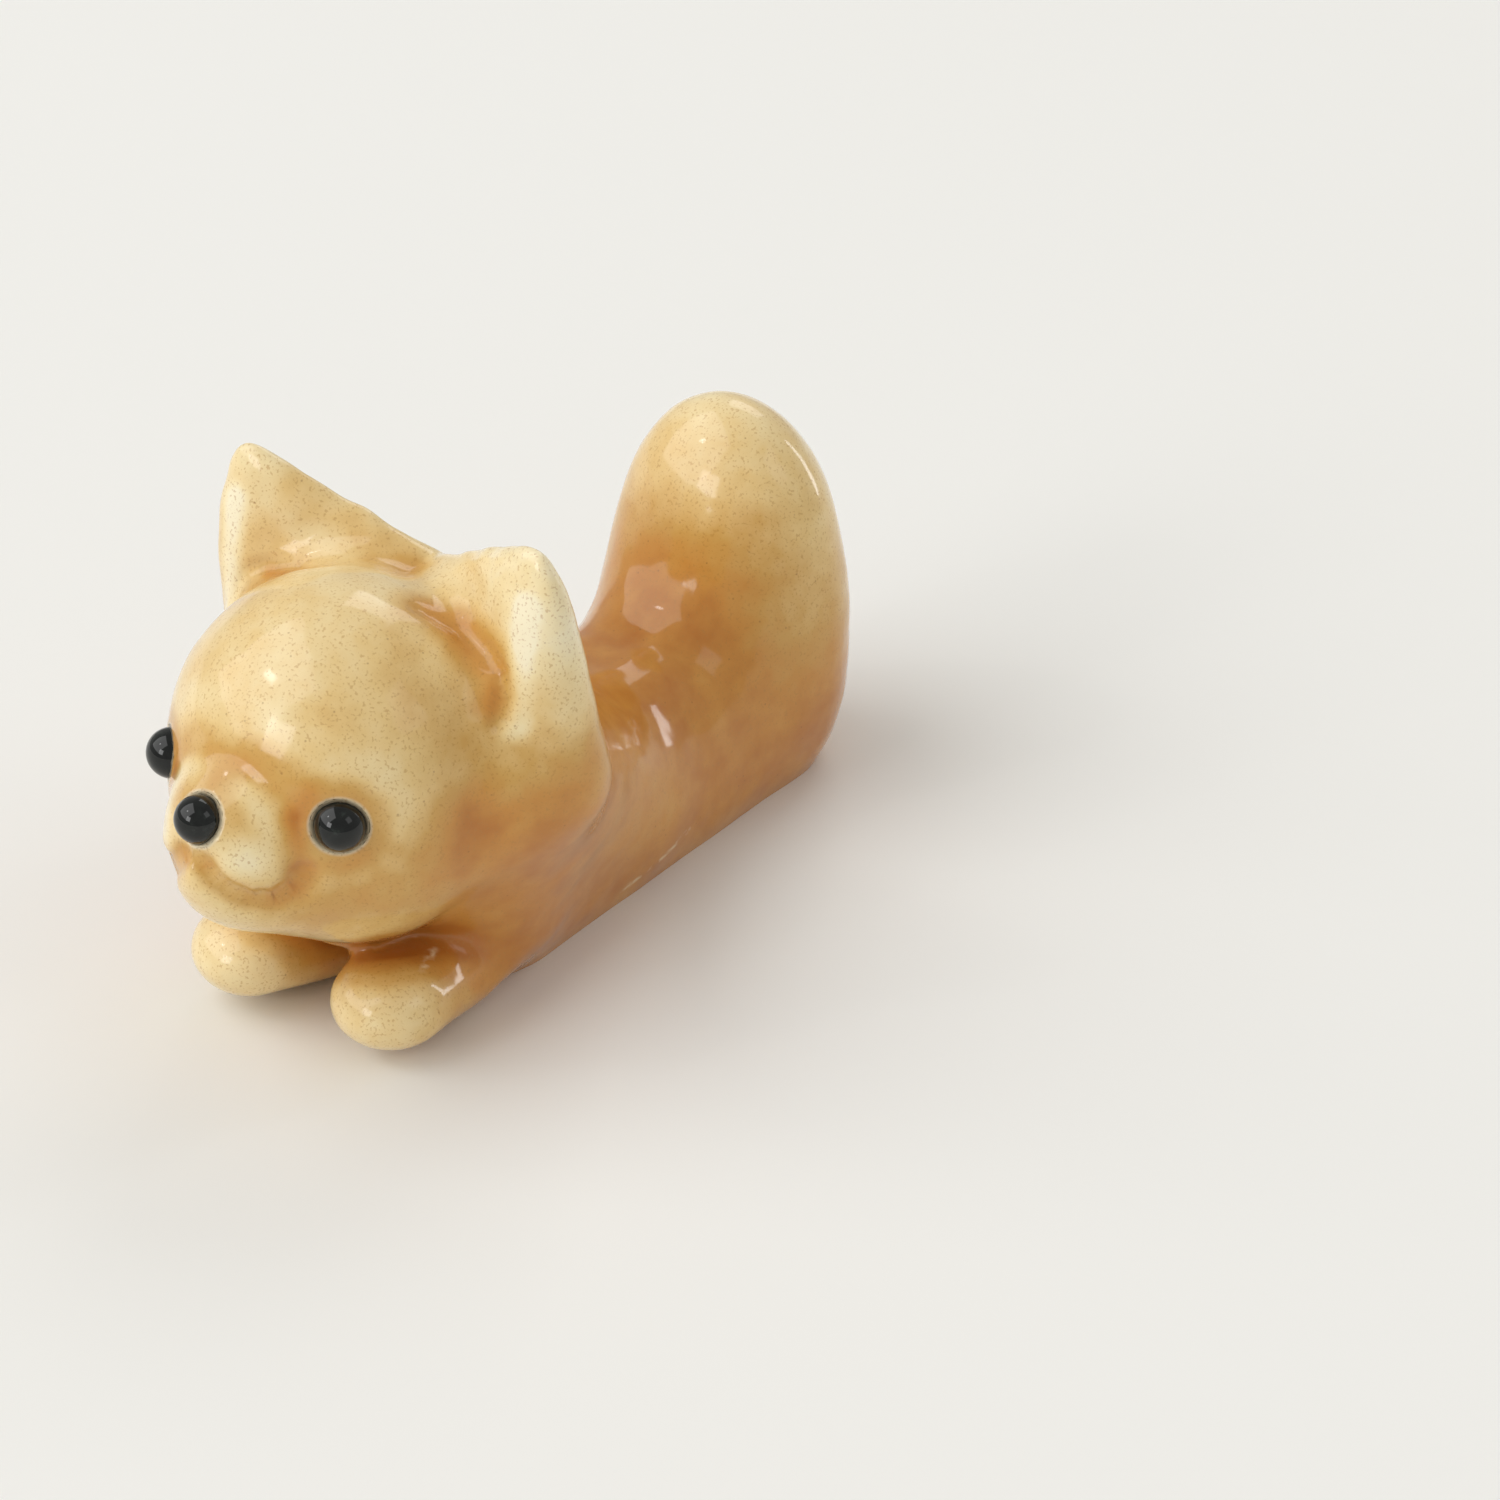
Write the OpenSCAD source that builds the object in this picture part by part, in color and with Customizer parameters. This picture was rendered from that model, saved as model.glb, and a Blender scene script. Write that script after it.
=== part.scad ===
// Chopstick rest: a lying dog modelled from lumps of clay that are pressed
// together, smoothed over and glazed. Millimetres, +Z up, the dog looks
// towards -Y, its own left is +X, the origin is under the middle of its foot.
// The skin of every lump is one smooth clay field, clay(p); each lump is the
// part of that field between its own seats, so neighbours meet face to face.

/* [Trunk] */
// Front end of the trunk core
trunk_front_y = -5.8; // [-12:0.1:0]
// Rear end of the trunk core
trunk_rear_y = 23.2; // [16:0.1:30]
// Height of the widest line of the trunk
trunk_mid_z = 5.2; // [3:0.1:8]
// Rounding radius of the trunk
trunk_round_r = 6.3; // [4:0.1:9]
// Half of the flat width along the back
trunk_core_w = 1.6; // [0:0.1:4]
// Width to height share of the trunk rounding
trunk_flat_share = 0.73; // [0.5:0.01:1]

/* [Shoulders] */
// Middle of the shoulders, front to back
shoulder_y = -6.5; // [-12:0.1:0]
// Height of the middle of the shoulders
shoulder_z = 14.3; // [8:0.1:18]
// Half width of the shoulders
shoulder_half_w = 9.1; // [7:0.1:12]
// Half length of the shoulders
shoulder_half_l = 7.2; // [5:0.1:11]
// Half height of the shoulders
shoulder_half_h = 8.8; // [6:0.1:12]
// Smoothing width between trunk and shoulders
shoulder_blend = 7.7; // [2:0.1:10]

/* [Head] */
// Middle of the head ball, front to back
head_y = -16.4; // [-22:0.1:-12]
// Height of the middle of the head ball
head_z = 18.3; // [14:0.1:22]
// Half width of the head ball
head_half_w = 11.4; // [9:0.1:14]
// Half length of the head ball
head_half_l = 10.9; // [8:0.1:13]
// Half height of the head ball
head_half_h = 12.2; // [8:0.1:13]
// Smoothing width between head, trunk and shoulders
neck_blend = 4.3; // [2:0.1:7]
// Smoothing width between head and forepaws
head_blend = 0.7; // [0.3:0.1:2]
// Front of the chin roll
chin_y = -24.9; // [-27:0.1:-19]
// Height of the chin roll
chin_z = 15.7; // [10:0.1:18]
// Radius of the chin roll
chin_r = 5.1; // [3:0.1:6]
// Half length of the chin roll
chin_half_w = 0.4; // [0.3:0.1:5]
// How far the ends of the chin roll sweep back
chin_sweep = 1; // [0:0.1:4]
// Smoothing width of the chin
chin_blend = 2.9; // [1:0.1:6]

/* [Muzzle] */
// Middle of the muzzle, front to back
muzzle_y = -25.2; // [-29:0.1:-20]
// Height of the middle of the muzzle
muzzle_z = 17.1; // [13:0.1:20]
// Half width of the muzzle
muzzle_half_w = 4.9; // [3.5:0.1:7]
// Half length of the muzzle
muzzle_half_l = 5.2; // [4:0.1:7]
// Half height of the muzzle
muzzle_half_h = 5.4; // [3.5:0.1:7]
// Smoothing width of the muzzle
muzzle_blend = 1.2; // [0.6:0.1:4]

/* [Ears] */
// Sideways place of the point where the faces of the ear meet
ear_tip_x = 15.8; // [13:0.1:18]
// Front to back place of that point
ear_tip_y = -13; // [-16:0.1:-11]
// Height of that point
ear_tip_z = 44; // [40:0.1:48]
// Turn of the front face of the ear, degrees
ear_front_yaw = -25.5; // [-35:0.5:-10]
// Upward tilt of the front face of the ear, degrees
ear_front_pitch = 9; // [3:0.5:15]
// Turn of the side face of the ear, degrees
ear_side_yaw = 67; // [50:0.5:80]
// Upward tilt of the side face of the ear, degrees
ear_side_pitch = -4.5; // [-10:0.5:0]
// Turn of the back face of the ear, degrees
ear_back_yaw = 165; // [160:0.5:176]
// Upward tilt of the back face of the ear, degrees
ear_back_pitch = 12; // [10:0.5:22]
// Rounding of the front edges of the ear
ear_round = 5; // [3:0.1:7]
// Rounding of the back edge of the ear
ear_rim_round = 4.1; // [2.5:0.1:6]
// Height where the faces of the ear end inside the head
ear_foot_z = 14; // [11:0.1:18]
// Rounding of the foot of the ear
ear_foot_round = 5; // [3:0.1:7]
// Sideways place of the ear root in the neck
ear_root_x = 5.5; // [3:0.1:8]
// Front to back place of the ear root
ear_root_y = -7.6; // [-12:0.1:-4]
// Height of the ear root
ear_root_z = 12.7; // [9:0.1:17]
// Radius of the ear root
ear_root_r = 4.7; // [3:0.1:6]
// Sideways place of the ear base
ear_base_x = 8.5; // [7:0.1:11]
// Front to back place of the ear base
ear_base_y = -9.8; // [-13:0.1:-7]
// Height of the ear base
ear_base_z = 19.7; // [17:0.1:23]
// Radius of the ear base
ear_base_r = 3.8; // [3:0.1:5]
// Smoothing width between ears, head and shoulders
ear_blend = 3.3; // [1.5:0.1:5]
// Smoothing width between ear and ear root
ear_root_blend = 3; // [1:0.1:5]

/* [Forepaws] */
// Sideways place of the paw root
paw_root_x = 4.4; // [3:0.1:6]
// Front to back place of the paw root
paw_root_y = -13.9; // [-16:0.1:-8]
// Radius of the paw root
paw_root_r = 4.1; // [3:0.1:5]
// Sideways place of the paw tip
paw_tip_x = 5.6; // [4:0.1:7]
// Front to back place of the paw tip
paw_tip_y = -19.4; // [-24:0.1:-16]
// Radius of the paw tip
paw_tip_r = 4; // [3:0.1:5]
// Width to height share of the paws
paw_flat_share = 1.36; // [1:0.01:1.8]
// Height of the paw tip above the floor
paw_tip_lift = 0.8; // [0:0.1:1.5]
// Depth of the paw root pressed into the floor
paw_root_sink = 0.3; // [0:0.1:1]
// Smoothing width between paws and trunk
paw_blend = 3.2; // [1:0.1:5]
// How far the right paw lies in front of the left one
right_paw_reach = 1; // [0:0.1:2]
// Middle of the pad that carries the chin on the paws, front to back
rest_y = -16.8; // [-19:0.1:-15]
// Height of the middle of the chin pad
rest_z = 6.9; // [6:0.1:8]
// Half width of the chin pad
rest_half_w = 4.5; // [3:0.1:6]
// Half length of the chin pad
rest_half_l = 3.5; // [2:0.1:5]
// Half height of the chin pad
rest_half_h = 1.6; // [1:0.1:2.5]
// Smoothing width between chin pad and paws
rest_blend = 1.5; // [0.5:0.1:3]

/* [Tail] */
// Middle of the tail, front to back
tail_y = 23.4; // [18:0.1:28]
// Height of the middle of the tail
tail_z = 15.3; // [12:0.1:20]
// Half width of the tail
tail_half_w = 8.7; // [6:0.1:11]
// Half thickness of the tail
tail_half_l = 6.9; // [4:0.1:9]
// Half height of the tail
tail_half_h = 12.5; // [9:0.1:16]
// Lean of the tail, degrees
tail_lean = -0.3; // [-15:0.5:15]
// Smoothing width between tail and trunk
tail_blend = 6.4; // [2:0.1:9]

/* [Eyes and nose] */
// Sideways place of the eyes
eye_x = 7; // [4:0.1:9]
// Height of the eyes
eye_z = 19.8; // [16:0.1:24]
// Radius of the eye beads
eye_r = 1.65; // [1:0.05:2.5]
// Share of the eye radius that the bead centre sinks
eye_sink_share = 0.3; // [0:0.05:0.6]
// Height of the nose
nose_z = 20; // [17:0.1:23]
// Radius of the nose bead
nose_r = 1.55; // [0.8:0.05:2.2]
// Share of the nose radius that the bead centre sinks
nose_sink_share = 0.25; // [0:0.05:0.6]

/* [Seats between the lumps] */
// Height of the seat between chin and forepaws
chin_seat_z = 7.1; // [6.8:0.1:7.4]
// Front edge of the neck seat
neck_seat_y = -13.3; // [-17:0.1:-10]
// Height of the front edge of the neck seat
neck_seat_z = 7.1; // [6.8:0.1:9]
// Slope of the neck seat, degrees
neck_seat_tilt = 40; // [20:1:60]
// Sideways place on the ear seat
ear_seat_x = 6; // [3:0.1:9]
// Front to back place on the ear seat
ear_seat_y = -10.8; // [-14:0.1:-7]
// Height on the ear seat
ear_seat_z = 27.6; // [22:0.1:30]
// Backward slope of the ear seat, degrees
ear_seat_back = 20; // [5:1:30]
// Outward slope of the ear seat, degrees
ear_seat_out = 40; // [25:1:50]
// Front to back place on the muzzle seat
muzzle_seat_y = -27.1; // [-30:0.1:-22]
// Height on the muzzle seat
muzzle_seat_z = 17; // [13:0.1:21]
// Downward slope of the muzzle seat, degrees
muzzle_seat_tilt = 20; // [0:1:40]
// Front to back place of the paw seats
paw_seat_y = -15; // [-18:0.1:-12]
// Front edge of the tail seat
tail_seat_y = 12.2; // [8:0.1:17]
// Height of the front edge of the tail seat
tail_seat_z = 16.5; // [13:0.1:20]
// Fall of the tail seat to the rear, degrees
tail_seat_tilt = 25; // [0:1:45]
// Front to back place of the lowest line of the back
saddle_y = 6.2; // [2:0.1:10]

/* [Surface] */
// Grid step of the skin of head, ears and paws
face_step = 1.1; // [0.9:0.05:2]
// Grid step of the skin of trunk and tail
trunk_step = 1.5; // [1.1:0.05:2.5]
// Softening of the midline
crease_soft = 0.2; // [0.05:0.05:1]
// Half width searched for clay
span_x = 16; // [14:1:22]
// Height searched for clay
span_top_z = 38; // [34:1:44]
// Height searched for the trunk
span_back_z = 27; // [22:1:34]
// Length searched in front of the trunk
span_front = 12; // [10:1:16]
// Length searched behind the trunk
span_rear = 10; // [8:1:14]
// Depth searched below the floor
span_under = 5; // [4:1:8]
// Length searched in front of the head
span_head = 16; // [14:1:20]
// Length searched behind the head
span_nape = 20; // [14:1:26]
// Margin searched round small lumps
span_pad = 3.5; // [2.5:0.5:6]
// Share of the grid step used to measure slopes
probe_share = 0.05; // [0.01:0.01:0.2]
// Grid steps that the skin runs on past a seat
seat_margin_share = 2; // [2:0.5:4]
// Share of the grid step below which a depth counts as none
search_share = 0.002; // [0.001:0.001:0.01]
// Smallest squared slope of the field
slope_floor_share = 0.1; // [0.01:0.01:0.5]
// Steps that move a point onto the skin
settle_steps = 2; // [1:1:6]
// Share of the grid step that a point may move there
settle_share = 0.3; // [0.1:0.05:0.4]
// Rounds that fill clefts thinner than the grid
mend_rounds = 3; // [2:1:6]
// Facets round a bead in the preview
bead_sides = 48; // [24:4:96]

/* [Hidden] */
// Sub-part to draw, or all of them
// Names of the sub-parts
// Size of a cutting block, larger than the whole dog
block = 4 * (trunk_rear_y - trunk_front_y);
// Step of the numeric slope of the clay field
probe = face_step * probe_share;
// Glaze colours
glaze = [0.87, 0.74, 0.52];
glaze_light = [0.93, 0.84, 0.66];
bead_black = [0.07, 0.08, 0.07];

// Smooth union and smooth cut of two distances, blended over k
function join(a, b, k) = let(h = max(k - abs(a - b), 0)) min(a, b) - h * h / (4 * k);
function carve(a, b, k) = -join(-a, b, k);

// Distance to an ellipsoid with centre c and half sizes r
function lump(p, c, r) = let(
    u = [(p.x - c.x) / r.x, (p.y - c.y) / r.y, (p.z - c.z) / r.z],
    n = norm(u), g = norm([u.x / r.x, u.y / r.y, u.z / r.z]))
    g == 0 ? -min(r) : n * (n - 1) / g;

// Distance to a rolled clay coil from a to b with end radii ra and rb
function coil(p, a, b, ra, rb) = let(
    e = b - a, t = max(0, min(1, (p - a) * e / (e * e))))
    norm(p - a - t * e) - ra - t * (rb - ra);

// Height above a flat face through a point, turned by yaw and tilted up by pitch
function face(p, at, yaw, pitch) = (p - at) * [cos(pitch) * sin(yaw),
    -cos(pitch) * cos(yaw), sin(pitch)];

// The lumps, in the half where x is not negative
function trunk_d(m) = let(
    over = max(trunk_front_y - m.y, 0) + max(m.y - trunk_rear_y, 0),
    side = max(m.x - trunk_core_w, 0),
    rise = trunk_flat_share * (m.z - trunk_mid_z))
    norm([side, over, rise]) - trunk_round_r;
function shoulder_d(m) = lump(m, [0, shoulder_y, shoulder_z],
    [shoulder_half_w, shoulder_half_l, shoulder_half_h]);
function paw_d(m, reach) = let(
    z_a = paw_root_r - paw_root_sink * paw_flat_share,
    z_b = paw_tip_r + paw_tip_lift * paw_flat_share)
    coil([m.x, m.y + reach, m.z * paw_flat_share],
         [paw_root_x, paw_root_y, z_a], [paw_tip_x, paw_tip_y, z_b],
         paw_root_r, paw_tip_r);
function rest_d(m) = lump(m, [0, rest_y, rest_z], [rest_half_w, rest_half_l, rest_half_h]);
function ear_d(m) = let(
    tip = [ear_tip_x, ear_tip_y, ear_tip_z],
    front = face(m, tip, ear_front_yaw, ear_front_pitch),
    rim = carve(face(m, tip, ear_side_yaw, ear_side_pitch),
                -face(m, tip, ear_back_yaw, ear_back_pitch), ear_rim_round),
    pinch = carve(carve(rim, -front, ear_round), m.z - ear_foot_z, ear_foot_round),
    root = coil(m, [ear_root_x, ear_root_y, ear_root_z], [ear_base_x, ear_base_y, ear_base_z],
                ear_root_r, ear_base_r))
    join(pinch, root, ear_root_blend);
function head_d(m) = let(
    ball = lump(m, [0, head_y, head_z], [head_half_w, head_half_l, head_half_h]),
    chin = coil(m, [0, chin_y, chin_z], [chin_half_w, chin_y + chin_sweep, chin_z],
                chin_r, chin_r),
    snout = lump(m, [0, muzzle_y, muzzle_z], [muzzle_half_w, muzzle_half_l, muzzle_half_h]))
    join(join(ball, chin, chin_blend), snout, muzzle_blend);
function tail_d(m) = let(
    y = m.y - tail_y, z = m.z - tail_z)
    lump([m.x, y * cos(tail_lean) + z * sin(tail_lean),
          z * cos(tail_lean) - y * sin(tail_lean)],
         [0, 0, 0], [tail_half_w, tail_half_l, tail_half_h]);

// The clay field: below zero inside the dog
function clay(p) = let(
    m = [norm([p.x, crease_soft]), p.y, p.z],
    reach = p.x < 0 ? right_paw_reach : 0,
    legs = join(paw_d(m, reach), rest_d(m), rest_blend),
    torso = join(trunk_d(m), shoulder_d(m), shoulder_blend),
    front = join(torso, legs, paw_blend),
    upper = join(torso, head_d(m), neck_blend),
    high = join(join(front, upper, head_blend), ear_d(m), ear_blend))
    join(high, tail_d(m), tail_blend);

// Slope of the field, and a point moved onto the skin in a few steps
function slope(p) = [clay(p + [probe, 0, 0]) - clay(p - [probe, 0, 0]),
                     clay(p + [0, probe, 0]) - clay(p - [0, probe, 0]),
                     clay(p + [0, 0, probe]) - clay(p - [0, 0, probe])] / (2 * probe);
function settle(p, n) = n == 0 ? p : let(g = slope(p))
    settle(p - clay(p) * g / max(g * g, slope_floor_share), n - 1);
// The settled point held within reach of the middle it started from
function held(p, mid, reach) = [for (a = [0:2])
    max(mid[a] - reach, min(mid[a] + reach, p[a]))];

// Seats are planes [point, turn]: past() is how far p lies on their free side
function past(p, seat) = (p - seat[0]) * [cos(seat[1].x) * sin(seat[1].y),
    -sin(seat[1].x), cos(seat[1].x) * cos(seat[1].y)];
// A room is the space past all of its seats
function depth(p, room) = min([for (seat = room) past(p, seat)]);
floor_seat = [[0, 0, 0], [0, 0, 0]];
head_room = [[[0, 0, chin_seat_z], [0, 0, 0]],
             [[0, neck_seat_y, neck_seat_z], [neck_seat_tilt, 0, 0]]];
muzzle_room = [[[0, muzzle_seat_y, muzzle_seat_z], [90 + muzzle_seat_tilt, 0, 0]],
               [[0, 0, chin_seat_z], [0, 0, 0]]];
chest_room = [[[0, paw_seat_y, 0], [90, 0, 0]], [[0, 0, chin_seat_z], [180, 0, 0]]];
tail_room = [[[0, tail_seat_y, tail_seat_z], [-tail_seat_tilt, 0, 0]],
             [[0, saddle_y, 0], [-90, 0, 0]]];
function half_room(side) = [[0, 0, 0], [0, side * 90, 0]];
function ear_room(side) = [half_room(side),
    [[side * ear_seat_x, ear_seat_y, ear_seat_z],
     [-ear_seat_back, side * ear_seat_out, 0]]];
function paw_room(side) = concat(chest_room, [half_room(side), floor_seat]);

// Corners of a grid cell, its edges as pairs of corners, and the four cells
// round a grid edge of each axis
corners = [for (k = [0, 1], j = [0, 1], i = [0, 1]) [i, j, k]];
rims = [for (a = [0:len(corners) - 2], b = [a + 1:len(corners) - 1])
    if (norm(corners[a] - corners[b]) == 1) [a, b]];
around = [[[0, -1, -1], [0, 0, -1], [0, 0, 0], [0, -1, 0]],
          [[-1, 0, -1], [-1, 0, 0], [0, 0, 0], [0, 0, -1]],
          [[-1, -1, 0], [0, -1, 0], [0, 0, 0], [-1, 0, 0]]];

// Mean of the points where a cell's edges are crossed, v its corner values
function middle(v) = let(cut = [for (e = rims) let(a = v[e[0]], b = v[e[1]])
    if ((a < 0) != (b < 0))
    corners[e[0]] + a / (a - b) * (corners[e[1]] - corners[e[0]])])
    [for (c = cut) 1] * cut / len(cut);
// Grid values with clay put in wherever the clay would touch itself only
// along an edge; turns are the hops to the two neighbours in every quarter
function mended(field, turns, step, n) = n == 0 ? field : mended(
    [for (q = [0:len(field) - 1]) let(f = field[q])
        f < 0 || f >= step ? f
        : len([for (w = turns) if (field[q + w[0]] < 0 && field[q + w[1]] < 0
            && field[q + w[0] + w[1]] >= 0) w]) == 0 ? f : -step * search_share],
    turns, step, n - 1);

// Skin of the clay between the grid corners lo and hi, for a lump inside one
// room and outside others, carried a little past their seats: one point in
// every cell that the skin crosses, and a ring of four of them round every
// grid edge that it crosses
function skin(lo, hi, step, inside, outside) = let(
    n = hi - lo + [1, 1, 1],
    c = n - [1, 1, 1],
    hop = [1, n.x, n.x * n.y],
    turns = [for (a = [0:2], s = [-1, 1], t = [-1, 1]) [s * hop[a], t * hop[(a + 1) % 3]]],
    margin = step * seat_margin_share,
    spot = function (i, j, k) step * (lo + [i, j, k] + [1, 1, 1] / 2),
    gap = function (p) max(-depth(p, inside), max([-block, for (r = outside) depth(p, r)]))
        - margin,
    raw = [for (k = [0:c.z], j = [0:c.y], i = [0:c.x]) let(p = spot(i, j, k), g = gap(p))
        min(i, j, k) == 0 || i == c.x || j == c.y || k == c.z ? step
        : g > 0 ? g : max(g, clay(p))],
    field = mended(raw, turns, step, mend_rounds),
    corner = [for (k = [0:c.z - 1], j = [0:c.y - 1], i = [0:c.x - 1])
        let(a = [i, j, k] * hop) [for (o = corners) field[a + o * hop]]],
    crossed = [for (v = corner) min(v) < 0 && max(v) >= 0],
    order = [for (q = 0, m = 0; q < len(crossed); m = m + (crossed[q] ? 1 : 0), q = q + 1) m],
    points = [for (k = [0:c.z - 1], j = [0:c.y - 1], i = [0:c.x - 1])
        let(q = (k * c.y + j) * c.x + i) if (crossed[q])
        let(mid = spot(i, j, k) + step * middle(corner[q]))
        abs(clay(mid)) > step ? mid
        : held(settle(mid, settle_steps), mid, step * settle_share)],
    split = function (a, b, c, d) norm(points[a] - points[c]) < norm(points[b] - points[d])
        ? [[a, b, c], [a, c, d]] : [[b, c, d], [b, d, a]],
    ring = function (v, out) out ? split(v[0], v[3], v[2], v[1]) : split(v[0], v[1], v[2], v[3]))
    [points, [for (axis = [0:2], k = [axis == 2 ? 0 : 1:c.z - 1],
                   j = [axis == 1 ? 0 : 1:c.y - 1], i = [axis == 0 ? 0 : 1:c.x - 1])
        let(a = [i, j, k] * hop, full = field[a] < 0)
        if (full != (field[a + hop[axis]] < 0))
        each ring([for (o = around[axis])
            order[((k + o.z) * c.y + j + o.y) * c.x + i + o.x]], full)]];

// Everything past a seat, and everything in a room
module beyond(seat) {
    translate(seat[0]) rotate(seat[1]) translate([-block / 2, -block / 2, 0]) cube(block);
}
module fill(room) {
    intersection_for (seat = room) beyond(seat);
}

// A lump of clay between two corners, inside one room and outside others
module clay_lump(low, high, step, inside, outside) {
    s = skin([for (v = low) floor(v / step)], [for (v = high) ceil(v / step)],
             step, inside, outside);
    difference() {
        intersection() {
            polyhedron(points = s[0], faces = s[1], convexity = 6);
            fill(inside);
        }
        for (room = outside) fill(room);
    }
}

// Beads sit on the clay wherever it is: the skin is searched from the front
function front_y(x, z, out, in) = let(y = (out + in) / 2)
    in - out < face_step * search_share ? y
    : clay([x, y, z]) > 0 ? front_y(x, z, y, in) : front_y(x, z, out, y);
eye_y = front_y(eye_x, eye_z, head_y - 2 * head_half_l, head_y) + eye_r * eye_sink_share;
nose_y = front_y(0, nose_z, muzzle_y - 2 * muzzle_half_l, muzzle_y) + nose_r * nose_sink_share;

module bead(spot, r) {
    translate(spot) sphere(r = r, $fn = bead_sides);
}
module eye(side) {
    bead([side * eye_x, eye_y, eye_z], eye_r);
}
module nose_bead() {
    bead([0, nose_y, nose_z], nose_r);
}

// Sub-parts
module body() {
    color(glaze)
    clay_lump([-span_x, trunk_front_y - span_front, -span_under],
              [span_x, trunk_rear_y + span_rear, span_back_z],
              trunk_step, [floor_seat], [head_room, chest_room, tail_room]);
}
module head() {
    color(glaze) difference() {
        clay_lump([-span_x, head_y - span_head, 0],
                  [span_x, head_y + span_nape, span_top_z],
                  face_step, head_room, [muzzle_room, ear_room(1), ear_room(-1)]);
        eye(1);
        eye(-1);
    }
}
module muzzle() {
    color(glaze_light) difference() {
        clay_lump([-span_x, head_y - span_head, 0],
                  [span_x, muzzle_y + span_pad, span_top_z],
                  face_step, muzzle_room, []);
        nose_bead();
    }
}
module ear(side) {
    color(glaze_light)
    clay_lump([-span_x, head_y - span_pad, ear_root_z],
              [span_x, head_y + span_nape, span_top_z],
              face_step, ear_room(side), []);
}
module left_ear() {
    ear(1);
}
module right_ear() {
    ear(-1);
}
module paw(side) {
    color(glaze_light)
    clay_lump([-span_x, head_y - span_head, -span_under],
              [span_x, paw_seat_y + span_pad, chin_seat_z + span_pad],
              face_step, paw_room(side), []);
}
module left_forepaw() {
    paw(1);
}
module right_forepaw() {
    paw(-1);
}
module tail() {
    color(glaze)
    clay_lump([-span_x, saddle_y - span_pad, 0],
              [span_x, trunk_rear_y + span_rear, span_top_z],
              trunk_step, tail_room, []);
}
module left_eye() {
    color(bead_black) eye(1);
}
module right_eye() {
    color(bead_black) eye(-1);
}
module nose() {
    color(bead_black) nose_bead();
}

body();
head();
muzzle();
left_ear();
right_ear();
left_forepaw();
right_forepaw();
tail();
left_eye();
right_eye();
nose();
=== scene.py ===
# %% [markdown]
# # A chopstick rest shaped as a lying dog
# The real object is a palm sized piece of stoneware. Somebody rolled lumps of
# clay, pressed them together, smoothed them over with a wet finger, pushed in
# three black beads and dipped the dog in a honey glaze. It could be sculpted
# freely, but here it is built in the same order as by hand: rolled lumps, one
# smooth skin over them, then the marks of the hand, the glaze and the beads.
#
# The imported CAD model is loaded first. It gives the size and the names of the
# parts, and its box is kept so that the finished dog can be measured against it.

# %% Load the frame
import math

import bpy
import numpy as np
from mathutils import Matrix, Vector


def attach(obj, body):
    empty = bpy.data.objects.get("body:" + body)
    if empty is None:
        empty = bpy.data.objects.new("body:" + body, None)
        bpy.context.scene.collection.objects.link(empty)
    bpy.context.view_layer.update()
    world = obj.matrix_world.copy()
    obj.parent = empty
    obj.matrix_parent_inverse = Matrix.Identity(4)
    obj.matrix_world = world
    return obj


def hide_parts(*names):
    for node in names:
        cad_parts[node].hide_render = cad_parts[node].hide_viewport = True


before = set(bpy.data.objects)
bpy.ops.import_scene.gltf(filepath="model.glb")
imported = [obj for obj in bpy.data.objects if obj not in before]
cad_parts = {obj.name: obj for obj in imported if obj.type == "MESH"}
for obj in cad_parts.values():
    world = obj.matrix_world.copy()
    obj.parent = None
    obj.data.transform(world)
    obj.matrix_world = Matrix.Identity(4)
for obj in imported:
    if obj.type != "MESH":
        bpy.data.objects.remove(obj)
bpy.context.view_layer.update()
MM = 0.001


# %% [markdown]
# ## The camera
# The dog is seen from above, from its left and a little in front, with a long
# lens, so that it keeps its proportions. The camera comes first, because it
# says how fine every later piece has to be. The view transform is Standard, so
# that a colour renders as it is written.

# %% Camera
full_frame_width = 36.0


def place_camera(spot, tilt, turn, lens):
    data = bpy.data.cameras.new("camera")
    data.lens, data.sensor_width = lens, full_frame_width
    data.clip_start, data.clip_end = 10 * MM, 5000 * MM
    camera = bpy.data.objects.new("camera", data)
    camera.location = [v * MM for v in spot]
    camera.rotation_euler = (math.radians(tilt), 0, math.radians(turn))
    bpy.context.scene.collection.objects.link(camera)
    bpy.context.scene.camera = camera
    return camera


camera = place_camera(spot=(135.8, -155.55, 135.4), tilt=58.8, turn=36.8, lens=86.4)
bpy.context.scene.view_settings.view_transform = "Standard"
print("the camera stands", round(camera.location.length / MM), "mm from the dog")

# %% [markdown]
# ## Distances in clay
# Where two lumps meet, a wet finger fills the corner with a soft fillet. That
# is easy to say with distances: each lump is a function that gives how far a
# point lies outside it, and join() takes the nearer of two lumps but rounds the
# corner between them over a width k. carve() does the same when clay is taken
# away. A lump is an oval ball, a coil is a roll of clay from a to b, and a face
# is a flat side. All of them work in millimetres and on many points at once.

# %% Distances and blends
def join(a, b, k):
    h = np.maximum(k - np.abs(a - b), 0)
    return np.minimum(a, b) - h * h / (4 * k)


def carve(a, b, k):
    return -join(-a, b, k)


def lump(p, centre, half):
    u = (p - np.array(centre, float)) / np.array(half, float)
    n = np.linalg.norm(u, axis=-1)
    g = np.linalg.norm(u / np.array(half, float), axis=-1)
    return np.where(g > 0, n * (n - 1) / np.maximum(g, 1e-9), -min(half))


def coil(p, a, b, ra, rb):
    a, b = np.array(a, float), np.array(b, float)
    t = np.clip((p - a) @ (b - a) / ((b - a) @ (b - a)), 0, 1)
    return np.linalg.norm(p - a - t[..., None] * (b - a), axis=-1) - ra - t * (rb - ra)


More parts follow.
